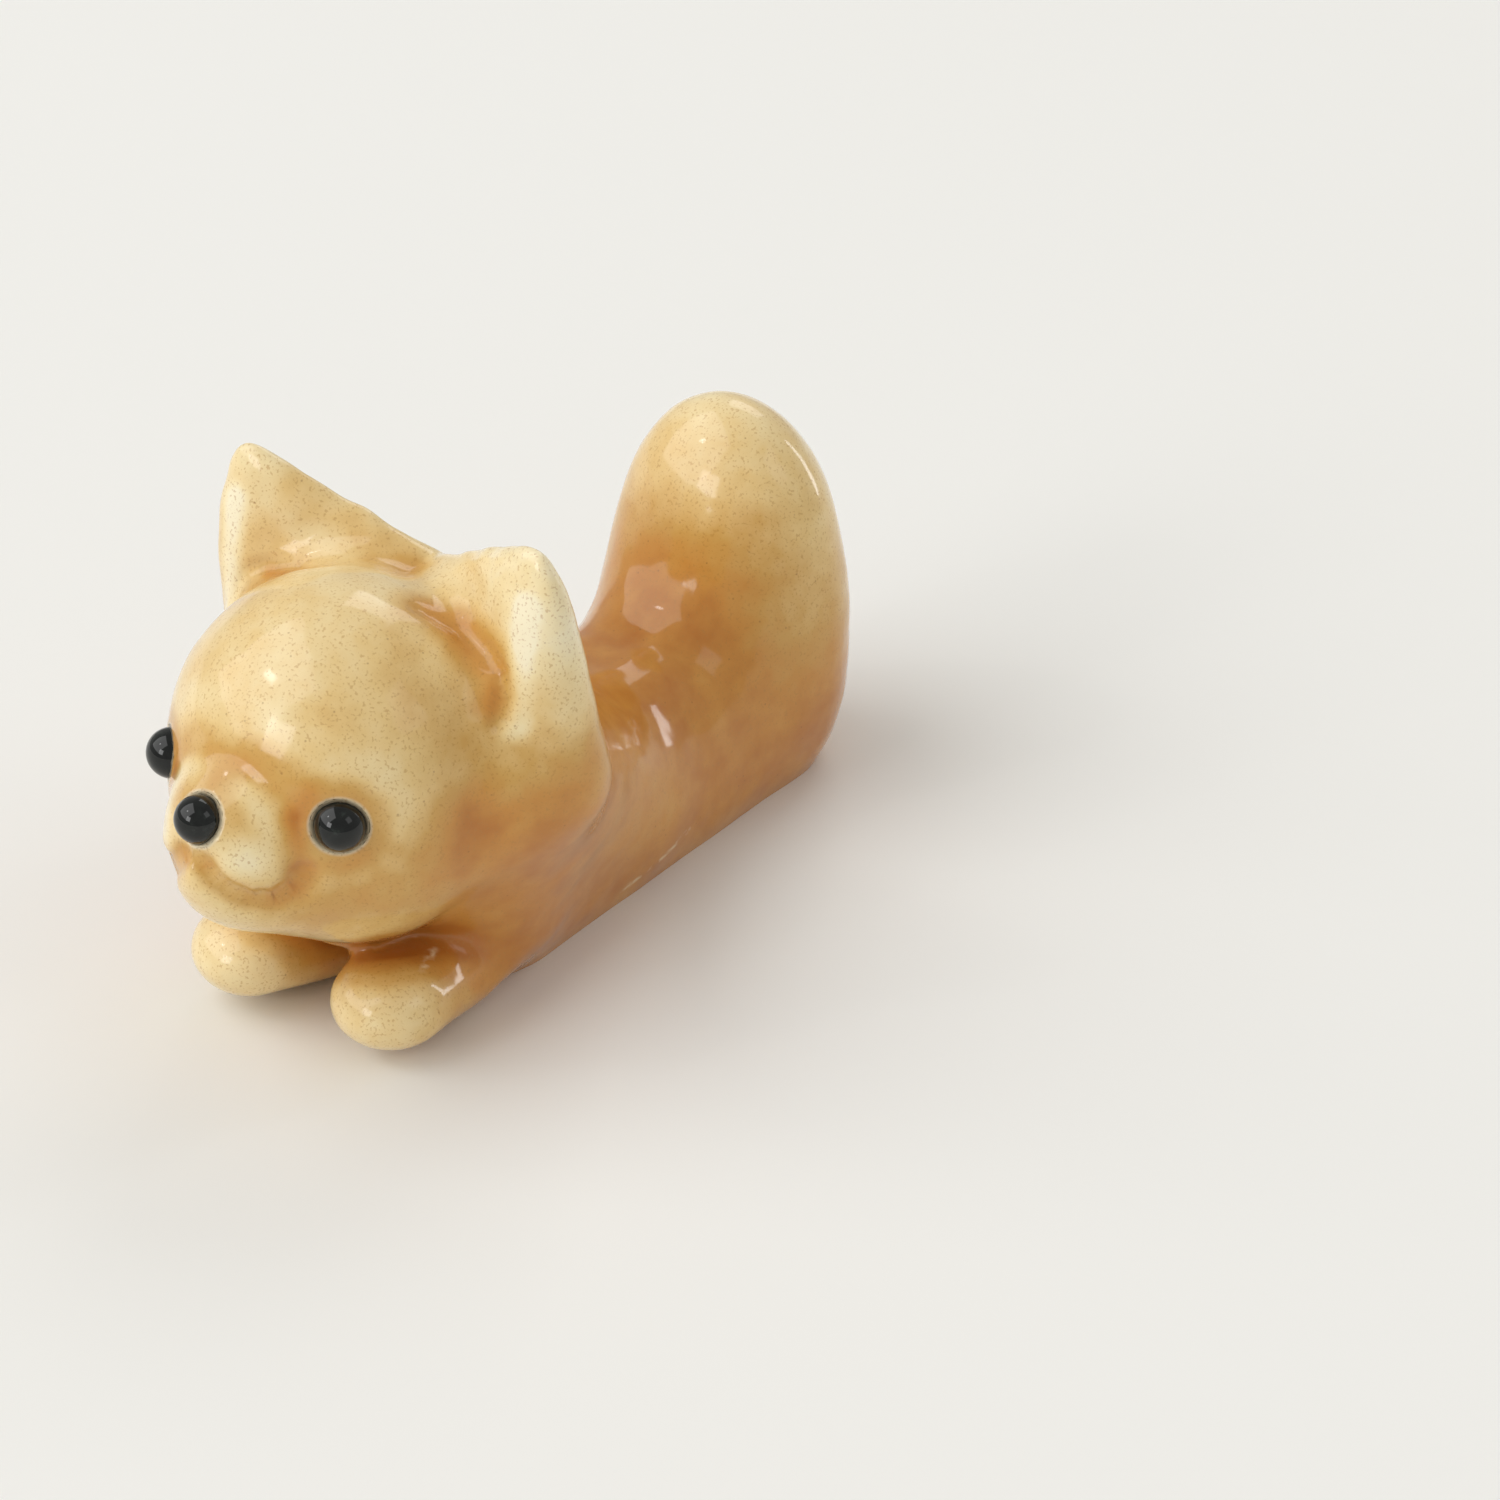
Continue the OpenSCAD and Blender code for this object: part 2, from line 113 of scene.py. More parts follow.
def face(p, at, yaw, pitch):
    yaw, pitch = math.radians(yaw), math.radians(pitch)
    normal = [math.cos(pitch) * math.sin(yaw), -math.cos(pitch) * math.cos(yaw), math.sin(pitch)]
    return (p - np.array(at)) @ np.array(normal)


print("1 mm from two lumps is", float(join(1.0, 1.0, 2.0)), "mm from a fillet 2 mm wide")

# %% [markdown]
# ## Rolling the lumps
# Every lump starts as a ball of clay: a sphere added at its size and place. A
# long lump is the same ball with one half pulled out in edit mode. The vertices
# to pull are chosen in code, by the side of the ball that they lie on.
# Everything is deselected first, because an operator acts on all that is
# selected, and the frame's own parts come in selected.

# %% Tools for rolling and pulling
on_midline = 1e-3


def deselect():
    if bpy.context.mode != "OBJECT":
        bpy.ops.object.mode_set(mode="OBJECT")
    bpy.ops.object.select_all(action="DESELECT")


def roll(name, at, half):
    """Adds a ball of clay with its middle and its three half widths in mm."""
    deselect()
    bpy.ops.mesh.primitive_uv_sphere_add(segments=40, ring_count=20, radius=1,
                                         location=[v * MM for v in at],
                                         scale=[v * MM for v in half])
    bpy.context.object.name = name
    bpy.ops.object.transform_apply(location=True, rotation=True, scale=True)
    return bpy.context.object


def points_of(obj):
    co = np.empty(len(obj.data.vertices) * 3, np.float32)
    obj.data.vertices.foreach_get("co", co)
    return co.reshape(-1, 3).astype(float) / MM


def pick(obj, chosen):
    """Goes into edit mode with only the chosen vertices selected."""
    deselect()
    bpy.context.view_layer.objects.active = obj
    obj.select_set(True)
    obj.data.vertices.foreach_set("select", np.asarray(chosen, bool))
    for kind in (obj.data.edges, obj.data.polygons):
        kind.foreach_set("select", np.zeros(len(kind), bool))
    bpy.ops.object.mode_set(mode="EDIT")
    bpy.ops.mesh.select_mode(type="VERT")


def pull(obj, at, end, grow=1.0):
    """Pulls the half of a ball round `at` that faces `end` out to `end`."""
    at, end = np.array(at, float), np.array(end, float)
    pick(obj, (points_of(obj) - at) @ (end - at) > on_midline)
    bpy.ops.transform.translate(value=list((end - at) * MM))
    bpy.ops.transform.resize(value=[grow] * 3, center_override=list(end * MM))
    bpy.ops.object.mode_set(mode="OBJECT")


lumps = []

# %% [markdown]
# ### Trunk and shoulders
# The trunk is one roll, a little flat on top where the sticks lie, and the
# shoulders are a second ball behind the head.

# %% Trunk and shoulders
trunk_front_y, trunk_rear_y, trunk_mid_z = -5.8, 23.2, 5.2
trunk_round_r, trunk_core_w, trunk_flat_share = 6.3, 1.6, 0.73
shoulder_y, shoulder_z, shoulder_blend = -6.5, 14.3, 7.7
shoulder_half_w, shoulder_half_l, shoulder_half_h = 9.1, 7.2, 8.8


def trunk_d(m):
    over = np.maximum(trunk_front_y - m[..., 1], 0) + np.maximum(m[..., 1] - trunk_rear_y, 0)
    side = np.maximum(m[..., 0] - trunk_core_w, 0)
    rise = trunk_flat_share * (m[..., 2] - trunk_mid_z)
    return np.sqrt(side ** 2 + over ** 2 + rise ** 2) - trunk_round_r


def shoulder_d(m):
    return lump(m, [0, shoulder_y, shoulder_z], [shoulder_half_w, shoulder_half_l, shoulder_half_h])


trunk = roll("trunk_roll", (0, trunk_front_y, trunk_mid_z),
             (trunk_round_r + trunk_core_w, trunk_round_r, trunk_round_r / trunk_flat_share))
pull(trunk, (0, trunk_front_y, trunk_mid_z), (0, trunk_rear_y, trunk_mid_z))
lumps += [trunk, roll("shoulder_ball", (0, shoulder_y, shoulder_z),
                      (shoulder_half_w, shoulder_half_l, shoulder_half_h))]
print("trunk roll is", round(trunk_rear_y - trunk_front_y + 2 * trunk_round_r, 1), "mm long")

# %% [markdown]
# ### Head, chin and snout
# A ball for the head, a short roll inside it that fills the chin, and a small
# ball for the snout.

# %% Head, chin and snout
head_y, head_z, head_blend, neck_blend = -16.4, 18.3, 0.7, 4.3
head_half_w, head_half_l, head_half_h = 11.4, 10.9, 12.2
chin_y, chin_z, chin_r, chin_half_w, chin_sweep, chin_blend = -24.9, 15.7, 5.1, 0.4, 1, 2.9
muzzle_y, muzzle_z, muzzle_blend = -25.2, 17.1, 1.2
muzzle_half_w, muzzle_half_l, muzzle_half_h = 4.9, 5.2, 5.4


def head_d(m):
    ball = lump(m, [0, head_y, head_z], [head_half_w, head_half_l, head_half_h])
    chin = coil(m, [0, chin_y, chin_z], [chin_half_w, chin_y + chin_sweep, chin_z], chin_r, chin_r)
    snout = lump(m, [0, muzzle_y, muzzle_z], [muzzle_half_w, muzzle_half_l, muzzle_half_h])
    return join(join(ball, chin, chin_blend), snout, muzzle_blend)


lumps += [roll("head_ball", (0, head_y, head_z), (head_half_w, head_half_l, head_half_h)),
          roll("snout_ball", (0, muzzle_y, muzzle_z), (muzzle_half_w, muzzle_half_l, muzzle_half_h))]
for side in (-1, 1):
    chin = roll("chin_roll", (0, chin_y, chin_z), [chin_r] * 3)
    pull(chin, (0, chin_y, chin_z), (side * chin_half_w, chin_y + chin_sweep, chin_z))
    lumps.append(chin)
print("head ball is", 2 * head_half_w, "mm wide")

# %% [markdown]
# ### Ears
# A real ear is pinched between three fingers, so it has three nearly flat faces
# that lean together towards a tip. The lump is a large ball that is bisected by
# those three planes, and the cut edges are bevelled as a fingertip would.

# %% Shape of an ear
ear_tip_x, ear_tip_y, ear_tip_z = 15.8, -13, 44
ear_front_yaw, ear_side_yaw, ear_back_yaw = -25.5, 67, 165
ear_front_pitch, ear_side_pitch, ear_back_pitch = 9, -4.5, 12
ear_round, ear_rim_round, ear_foot_z, ear_foot_round = 5, 4.1, 14, 5
ear_root_x, ear_root_y, ear_root_z, ear_root_r = 5.5, -7.6, 12.7, 4.7
ear_base_x, ear_base_y, ear_base_z, ear_base_r = 8.5, -9.8, 19.7, 3.8
ear_blend, ear_root_blend = 3.3, 3
ear_faces = [(ear_front_yaw, ear_front_pitch), (ear_side_yaw, ear_side_pitch),
             (ear_back_yaw, ear_back_pitch)]


def ear_d(m):
    front, side, back = [face(m, (ear_tip_x, ear_tip_y, ear_tip_z), *turn) for turn in ear_faces]
    pinch = carve(carve(side, -back, ear_rim_round), -front, ear_round)
    pinch = carve(pinch, m[..., 2] - ear_foot_z, ear_foot_round)
    root = coil(m, [ear_root_x, ear_root_y, ear_root_z], [ear_base_x, ear_base_y, ear_base_z],
                ear_root_r, ear_base_r)
    return join(pinch, root, ear_root_blend)


print("ears are pinched to faces turned", ear_front_yaw, ear_side_yaw, ear_back_yaw, "degrees")

# %% [markdown]
# Bisect cuts a mesh along a plane, clears what lies outside it and fills the
# hole. The planes all pass through one point above the ear, where its tip would
# be if the fingertips were sharp.

# %% Pinch the ears
ear_ball_half, ear_ball_rise, ear_bevel = (9, 9, 14), 6, 1.2
sharp_edge = math.radians(50)


def bisect(obj, at, normal):
    pick(obj, np.ones(len(obj.data.vertices)))
    bpy.ops.mesh.bisect(plane_co=[v * MM for v in at], plane_no=normal,
                        use_fill=True, clear_outer=True)
    bpy.ops.object.mode_set(mode="OBJECT")


def bevel_edges(obj, width, segments=3):
    pick(obj, np.ones(len(obj.data.vertices)))
    bpy.ops.mesh.select_all(action="DESELECT")
    bpy.ops.mesh.edges_select_sharp(sharpness=sharp_edge)
    bpy.ops.mesh.bevel(offset=width * MM, segments=segments)
    bpy.ops.object.mode_set(mode="OBJECT")


for side in (-1, 1):
    ear_ball_at = (side * ear_base_x, ear_base_y, ear_base_z + ear_ball_rise)
    ear_lump = roll("ear_lump", ear_ball_at, ear_ball_half)
    for yaw, pitch in ear_faces:
        yaw, pitch = math.radians(yaw), math.radians(pitch)
        across, along = math.sin(yaw), -math.cos(yaw)
        bisect(ear_lump, (side * ear_tip_x, ear_tip_y, ear_tip_z),
               (side * math.cos(pitch) * across, math.cos(pitch) * along, math.sin(pitch)))
    bevel_edges(ear_lump, ear_bevel)
    lumps.append(ear_lump)
    root = roll("ear_root", (side * ear_root_x, ear_root_y, ear_root_z), [ear_root_r] * 3)
    pull(root, (side * ear_root_x, ear_root_y, ear_root_z), (side * ear_base_x, ear_base_y, ear_base_z),
         ear_base_r / ear_root_r)
    lumps.append(root)
print("the last ear lump has", len(ear_lump.data.polygons), "faces")

# %% [markdown]
# ### Forepaws, the pad under the chin, and the tail
# The paws are two short rolls pressed to the floor under the head, the right
# one a little in front of the left. A small pad carries the chin. The tail is
# one thick oval that stands up at the rear and stops the sticks.

# %% Forepaws, chin pad and tail
paw_root_x, paw_root_y, paw_root_r, paw_root_sink = 4.4, -13.9, 4.1, 0.3
paw_tip_x, paw_tip_y, paw_tip_r, paw_tip_lift = 5.6, -19.4, 4, 0.8
paw_flat_share, paw_blend, right_paw_reach = 1.36, 3.2, 1
rest_y, rest_z, rest_blend = -16.8, 6.9, 1.5
rest_half_w, rest_half_l, rest_half_h = 4.5, 3.5, 1.6
tail_y, tail_z, tail_lean, tail_blend = 23.4, 15.3, -0.3, 6.4
tail_half_w, tail_half_l, tail_half_h = 8.7, 6.9, 12.5
paw_root_mid = paw_root_r / paw_flat_share - paw_root_sink
paw_tip_mid = paw_tip_r / paw_flat_share + paw_tip_lift


def paw_d(m, reach):
    q = np.stack([m[..., 0], m[..., 1] + reach, m[..., 2] * paw_flat_share], -1)
    return coil(q, [paw_root_x, paw_root_y, paw_root_mid * paw_flat_share],
                [paw_tip_x, paw_tip_y, paw_tip_mid * paw_flat_share], paw_root_r, paw_tip_r)


def rest_d(m):
    return lump(m, [0, rest_y, rest_z], [rest_half_w, rest_half_l, rest_half_h])


def tail_d(m):
    y, z, lean = m[..., 1] - tail_y, m[..., 2] - tail_z, math.radians(tail_lean)
    q = [m[..., 0], y * math.cos(lean) + z * math.sin(lean), z * math.cos(lean) - y * math.sin(lean)]
    return lump(np.stack(q, -1), [0, 0, 0], [tail_half_w, tail_half_l, tail_half_h])


for side in (-1, 1):
    reach = right_paw_reach if side < 0 else 0
    at = (side * paw_root_x, paw_root_y - reach, paw_root_mid)
    paw = roll("paw_roll", at, (paw_root_r, paw_root_r, paw_root_r / paw_flat_share))
    pull(paw, at, (side * paw_tip_x, paw_tip_y - reach, paw_tip_mid), paw_tip_r / paw_root_r)
    lumps.append(paw)
lumps += [roll("chin_pad", (0, rest_y, rest_z), (rest_half_w, rest_half_l, rest_half_h)),
          roll("tail_lump", (0, tail_y, tail_z), (tail_half_w, tail_half_l, tail_half_h))]
print("the tail stands up to", tail_z + tail_half_h, "mm")

# %% [markdown]
# ### Smeared neck
# The maker smears each ear's foot down over the neck with a thumb, so the ear
# runs into the flank without a step. The smear is two tapered rolls on each
# side, from the ear's foot to the chest and along the flank. A third roll fills
# the space between them until the skin is drawn over all three.

# %% Smeared neck
ear_foot, chest_side, flank_side = (8.6, -11.2, 17.0), (4.2, -9.5, 6.0), (3.2, 5.0, 6.5)
ear_foot_r, chest_side_r, flank_side_r = 4.2, 4.9, 4.6
smear_soft = 3.0


def both_sides(p):
    return np.concatenate([np.abs(p[..., :1]), p[..., 1:]], -1)


def smear_d(p):
    m = both_sides(p)
    return join(coil(m, ear_foot, chest_side, ear_foot_r, chest_side_r),
                coil(m, ear_foot, flank_side, ear_foot_r, flank_side_r), smear_soft)


for side in (-1, 1):
    foot_at, chest_at, flank_at = [(side * x, y, z) for x, y, z in (ear_foot, chest_side, flank_side)]
    for start, end, r, end_r in ((foot_at, chest_at, ear_foot_r, chest_side_r),
                                 (foot_at, flank_at, ear_foot_r, flank_side_r),
                                 (chest_at, flank_at, chest_side_r, flank_side_r)):
        smear = roll("neck_smear", start, (r, r, r))
        pull(smear, start, end, end_r / r)
        lumps.append(smear)
print(len(lumps), "lumps of clay are ready")

# %% [markdown]
# ## One skin over the lumps
# Now the lumps are pressed together. Their distances are joined in the order in
# which the maker blends them, each pair with its own fillet width. The midline
# is softened a little, so that no crease runs down the middle of the dog.

# %% The clay field
crease_soft = 0.2


def clay(p):
    m = p.copy()
    m[..., 0] = np.hypot(p[..., 0], crease_soft)
    reach = np.where(p[..., 0] < 0, right_paw_reach, 0)
    legs = join(paw_d(m, reach), rest_d(m), rest_blend)
    torso = join(trunk_d(m), shoulder_d(m), shoulder_blend)
    front, upper = join(torso, legs, paw_blend), join(torso, head_d(m), neck_blend)
    high = join(join(front, upper, head_blend), ear_d(m), ear_blend)
    return join(high, tail_d(m), tail_blend)


def form(p):
    """The clay with the smears, before the marks of the hand."""
    return join(clay(p), smear_d(p), smear_soft)


trunk_middle = np.array([[0, 5.0, trunk_mid_z]])
print("the middle of the trunk lies", round(-float(form(trunk_middle)[0]), 2), "mm under the skin")

# %% [markdown]
# ### Places of the beads
# Eyes and nose are pressed into the clay from the front. Each is given by its
# height and its place across the face. How deep it sits is found by halving:
# one point outside the clay and one inside close in on the skin between them.

# %% Places of the beads
eye_x, eye_z, eye_r, eye_sink_share = 7, 19.8, 1.65, 0.3
nose_z, nose_r, nose_sink_share = 20, 1.55, 0.25
halvings = 40


def front_of(x, z, outer, inner):
    """Depth at which a line from the front meets the clay."""
    for _ in range(halvings):
        middle = (outer + inner) / 2
        if clay(np.array([[x, middle, z]], float))[0] > 0:
            outer = middle
        else:
            inner = middle
    return inner


eye_y = front_of(eye_x, eye_z, head_y - 2 * head_half_l, head_y) + eye_r * eye_sink_share
nose_y = front_of(0, nose_z, muzzle_y - 2 * muzzle_half_l, muzzle_y) + nose_r * nose_sink_share
beads = {"left_eye": ((eye_x, eye_y, eye_z), eye_r), "right_eye": ((-eye_x, eye_y, eye_z), eye_r),
         "nose": ((0, nose_y, nose_z), nose_r)}
print("left eye at", [round(float(v), 2) for v in beads["left_eye"][0]])

# %% [markdown]
# ### Marks of the hand
# Up close the skin isn't perfect: it waves a little under the fingers, the
# mouth is pressed in with a tool, a crease runs along the foot of each ear, and
# each bead sits in a dent. All of these marks only take clay away.

# %% Marks of the hand
waves = [(0.05, 9, 0.7), (0.02, 3.5, 2.1)]
mouth_tool_r, mouth_soft = 0.45, 1.5
ear_crease_r, ear_crease_soft = -0.1, 1.2
dent_share, dent_soft = 1.05, 0.25


def path_d(p, path, r=0.0):
    """Distance to a thin roll of radius r along a list of points."""
    return np.min([coil(p, a, b, r, r) for a, b in zip(path, path[1:])], axis=0)


def wave(p, length, turn):
    """A smooth hand-made unevenness from -1 to 1, about `length` mm from crest to crest."""
    q = p * (2 * math.pi / length)
    x, y, z = q[..., 0], q[..., 1], q[..., 2]
    return (np.sin(x + 1.3 * np.sin(y + turn)) + np.sin(y + 1.7 * np.sin(z + 2 * turn))
            + np.sin(z + 1.1 * np.sin(x + 3 * turn))) / 3


mouth = [(0.7, -30.45, 17.9), (1.1, -30.3, 17.5), (1.6, -30.2, 16.8), (2.3, -29.9, 16.1),
         (3.4, -29.0, 15.2), (4.5, -27.8, 15.1), (5.3, -27.0, 15.7), (5.7, -26.5, 16.7)]
ear_crease = [(4.6, -13.6, 29.5), (6.8, -12.9, 28.4), (9.0, -13.2, 27.6), (10.6, -13.7, 26.7),
              (11.3, -14.1, 25.1), (11.5, -14.7, 23.9)]


def skin(p):
    m = both_sides(p)
    d = form(p)
    for height, length, turn in waves:
        d = d + height * (1 + wave(p, length, turn))
    d = carve(d, path_d(m, mouth, mouth_tool_r), mouth_soft)
    d = carve(d, path_d(m, ear_crease, ear_crease_r), ear_crease_soft)
    for at, r in beads.values():
        d = carve(d, np.linalg.norm(p - np.array(at), axis=-1) - dent_share * r, dent_soft)
    return d


print("the waves are", 2 * waves[0][0], "and", 2 * waves[1][0], "mm deep")

# %% [markdown]
# ### Moving points onto the skin
# The slope of a distance points straight out of the clay. So a point that lies
# off the skin is moved back along the slope by its distance, a few times over,
# and never far at once. The points of the mouth and of the creases are the first
# to be settled in this way.

# %% Settle points on the skin
flat_slope = 0.1


def slope(p, field, h=0.05):
    axes = np.eye(3) * h
    return np.stack([field(p + a) - field(p - a) for a in axes], -1) / (2 * h)


def settle(p, field, rounds, reach):
    """Moves points onto the skin of a field in a few careful steps."""
    for _ in range(rounds):
        g = slope(p, field)
        step = (field(p) / np.maximum((g * g).sum(-1), flat_slope))[:, None] * g
        far = np.linalg.norm(step, axis=-1, keepdims=True)
        p = p - step * np.minimum(1, reach / np.maximum(far, 1e-9))
    return p


mouth, ear_crease = [settle(np.array(path), form, rounds=12, reach=0.3)
                     for path in (mouth, ear_crease)]
print("mouth ends at", [round(float(v), 2) for v in mouth[-1]])

# %% [markdown]
# ### Pressing and smoothing
# The lumps are joined to one object and a voxel remesh melts them together, as
# wet clay does. A remesh alone leaves dents at the corners, so the vertices are
# then moved onto the clay field, which has the soft fillets. A second, finer
# remesh gives even faces, and they settle once more, this time onto the skin
# with the marks of the hand. A sculpt brush could do it too, but not twice
# alike.

# %% Press the lumps together
coarse_voxel, fine_voxel = 0.5, 0.3


def remesh(obj, size):
    deselect()
    bpy.context.view_layer.objects.active = obj
    obj.select_set(True)
    modifier = obj.modifiers.new("melt", "REMESH")
    modifier.mode, modifier.voxel_size = "VOXEL", size * MM
    bpy.ops.object.modifier_apply(modifier=modifier.name)


def place_points(obj, p):
    obj.data.vertices.foreach_set("co", (p * MM).astype(np.float32).ravel())
    obj.data.update()


deselect()
for piece in lumps:
    piece.select_set(True)
bpy.context.view_layer.objects.active = lumps[0]
bpy.ops.object.join()
whole = lumps[0]
whole.name = "whole_skin"
remesh(whole, coarse_voxel)
place_points(whole, settle(points_of(whole), form, rounds=14, reach=0.4))
remesh(whole, fine_voxel)
place_points(whole, settle(points_of(whole), skin, rounds=6, reach=0.3))
off = np.abs(skin(points_of(whole)))
print(len(whole.data.vertices), "vertices, off the skin by", round(float(np.median(off)), 5),
      "mm in the middle of the range and", round(float(off.max()), 2), "mm at most")

# %% [markdown]
# ## Cutting at the seats
# The dog stays an assembly: body, head, muzzle, ears, paws and tail are
# separate lumps that meet face to face on flat seats. A seat is a plane: a point
# on it, and the direction in which it faces. A room is the space past all of its
# seats, so it says where a lump may be.

# %% Seats and rooms
chin_seat_z, neck_seat_y, neck_seat_z, neck_seat_tilt = 7.1, -13.3, 7.1, 40
muzzle_seat_y, muzzle_seat_z, muzzle_seat_tilt = -27.1, 17, 20
paw_seat_y, tail_seat_y, tail_seat_z, tail_seat_tilt, saddle_y = -15, 12.2, 16.5, 25, 6.2
ear_seat_x, ear_seat_y, ear_seat_z = 6, -10.8, 27.6
ear_seat_back, ear_seat_out = 20, 40


def seat(at, turn_x=0, turn_y=0):
    x, y = math.radians(turn_x), math.radians(turn_y)
    return at, (math.cos(x) * math.sin(y), -math.sin(x), math.cos(x) * math.cos(y))


rooms = {
    "floor": [seat((0, 0, 0))],
    "head": [seat((0, 0, chin_seat_z)), seat((0, neck_seat_y, neck_seat_z), neck_seat_tilt)],
    "muzzle": [seat((0, muzzle_seat_y, muzzle_seat_z), 90 + muzzle_seat_tilt),
               seat((0, 0, chin_seat_z))],
    "chest": [seat((0, paw_seat_y, 0), 90), seat((0, 0, chin_seat_z), 180)],
    "tail": [seat((0, tail_seat_y, tail_seat_z), -tail_seat_tilt), seat((0, saddle_y, 0), -90)],
}
for name, side in (("left", 1), ("right", -1)):
    half = seat((0, 0, 0), 0, side * 90)
    ear_seat = seat((side * ear_seat_x, ear_seat_y, ear_seat_z), -ear_seat_back, side * ear_seat_out)
    rooms[name + "_ear"] = [half, seat((0, saddle_y, 0), 90), ear_seat]
    rooms[name + "_paw"] = rooms["chest"] + [half, rooms["floor"][0]]
print(len(rooms), "rooms:", ", ".join(rooms))

# %% [markdown]
# ### Cutting the skin
# In Blender each room is a large cube that is bisected by its seats. A boolean
# modifier then keeps or removes what lies in it. Every lump is cut from its own
# copy of the whole skin, so neighbours share exactly the same edge.

# %% Cut the skin
room_size = 200


def make_room(name):
    deselect()
    bpy.ops.mesh.primitive_cube_add(size=room_size * MM, location=(0, 0, 0))
    room = bpy.context.object
    for at, normal in rooms[name]:
        bisect(room, at, [-v for v in normal])
    return room


def cut(piece, room_name, operation):
    room = make_room(room_name)
    deselect()
    bpy.context.view_layer.objects.active = piece
    piece.select_set(True)
    modifier = piece.modifiers.new("cut", "BOOLEAN")
    modifier.operation, modifier.object, modifier.solver = operation, room, "MANIFOLD"
    bpy.ops.object.modifier_apply(modifier=modifier.name)
    bpy.data.objects.remove(room)


# Of each lump: the rooms that it lies in, and those that are cut away from it
cuts = {
    "body": (["floor"], ["head", "chest", "tail"]),
    "head": (["head"], ["muzzle", "left_ear", "right_ear"]),
    "muzzle": (["muzzle"], []),
    "left_ear": (["left_ear"], []),
    "right_ear": (["right_ear"], []),
    "left_forepaw": (["left_paw"], []),
    "right_forepaw": (["right_paw"], []),
    "tail": (["tail"], []),
}
skins = {}
for node, (inside, outside) in cuts.items():
    piece = whole.copy()
    piece.data = whole.data.copy()
    piece.name = piece.data.name = node + "_skin"
    bpy.context.scene.collection.objects.link(piece)
    for name in inside:
        cut(piece, name, "INTERSECT")
    for name in outside:
        cut(piece, name, "DIFFERENCE")
    skins[node] = piece
    print(node, len(piece.data.polygons), "faces")
bpy.data.objects.remove(whole)

# %% [markdown]
# ### Smooth from lump to lump
# Every piece is smooth shaded, but at a seat its skin stops, and Blender would
# turn the last normals a little, so a bright line would show where two lumps
# meet. The field knows the true direction of the skin everywhere, so the pieces
# get it as custom normals, and the glaze runs over the seats without a line.

# %% Smooth normals
on_plane, facing = 0.002, 0.9999


def flat_seats(piece, names):
    """True for the faces that lie in one of the seats of the named rooms."""
    count = len(piece.data.polygons)
    normal, centre = np.empty(count * 3, np.float32), np.empty(count * 3, np.float32)
    piece.data.polygons.foreach_get("normal", normal)
    piece.data.polygons.foreach_get("center", centre)
    normal, centre = normal.reshape(-1, 3), centre.reshape(-1, 3) / MM
    found = np.zeros(count, bool)
    for name in names:
        for at, turn in rooms[name]:
            found |= ((np.abs((centre - at) @ np.array(turn)) < on_plane)
                      & (np.abs(normal @ np.array(turn)) > facing))
    return found, normal


def smooth(piece, names):
    """Shades a piece by the slope of the skin, and its seats flat."""
    mesh = piece.data
    mesh.polygons.foreach_set("use_smooth", np.ones(len(mesh.polygons), bool))
    seats, face_normal = flat_seats(piece, names)
    g = slope(points_of(piece), skin)
    g /= np.linalg.norm(g, axis=-1, keepdims=True)
    corner = np.empty(len(mesh.loops), np.int32)
    mesh.loops.foreach_get("vertex_index", corner)
    total = np.empty(len(mesh.polygons), np.int32)
    mesh.polygons.foreach_get("loop_total", total)
    on_seat = np.repeat(seats, total)
    normals = np.where(on_seat[:, None], np.repeat(face_normal, total, axis=0), g[corner])
    mesh.normals_split_custom_set(normals)
    return seats


for node, piece in skins.items():
    seats = smooth(piece, cuts[node][0] + cuts[node][1])
    print(node, int(seats.sum()), "seat faces of", len(seats))

# %% [markdown]
# ## Where the glaze is thick, and where shade and highlights are painted
# A honey glaze is thin and pale where it ran off the ridges, and thick and
# brown where it gathered in hollows, round the beads and at the foot. How much
# the skin bends tells ridges from hollows: it is the sum of the field's second
# slopes, measured over a short and over a long distance. A stroke along a few
# points adds to that. Some strokes are extra runs of glaze or places wiped thin.
# Others are painted shade in the mouth, under and on the cheeks and in the ear
# creases, and a painted highlight on the left ear.

# %% Runs of glaze, painted shade and painted highlights
# Points of the stroke in mm, half width, added thickness; some strokes add painted shade, not glaze.
# These are on both sides
brow_run = [(0, -26.9, 22.9), (2.3, -26.0, 23.6), (3.7, -25.9, 22.8), (4.8, -25.8, 21.9),
            (5.2, -25.8, 21.1)]
glaze_runs_and_painted_light = [
    (brow_run, 2.2, 0.16),
    ([(4.7, -26.5, 20.1), (5.1, -26.7, 18.9), (5.4, -26.7, 17.4)], 1.4, 0.22),
    # The mouth crease: pooled glaze, and painted shade along it
    (mouth[1:], 1.9, 0.16),
    (mouth[1:], 1.3, 0.4),
    ([(1.2, -30.2, 18.8), (3.6, -28.6, 18.2)], 1.9, -0.22),
    # Painted shade under the cheek, where the chin meets the paw
    ([(6.1, -20.3, 9.0), (4.9, -15.8, 6.3), (6.0, -13.6, 7.2)], 2.0, 0.15),
    ([(5.6, -17.2, 28.9), (8.1, -18.0, 26.7), (9.9, -18.4, 24.0)], 3.4, 0.12),
    # The lower cheeks: thicker glaze and painted shade
    ([(6.5, -25.5, 13.5), (8.8, -23.0, 14.5), (10.8, -20.0, 15.8), (11.3, -18.5, 18.0)], 5.0, 0.24),
    ([(12.0, -12.6, 31.0), (12.0, -13.3, 28.5), (12.0, -13.7, 25.9), (12.2, -14.0, 23.6)], 1.6, -0.4),
    ([(1.1, -27.8, 22.0), (3.1, -26.9, 21.3), (4.2, -27.2, 19.7)], 1.5, -0.12),
    ([(2.6, -25.0, 25.5), (5.5, -24.2, 24.2), (8.6, -22.4, 22.6)], 2.2, -0.12),
]
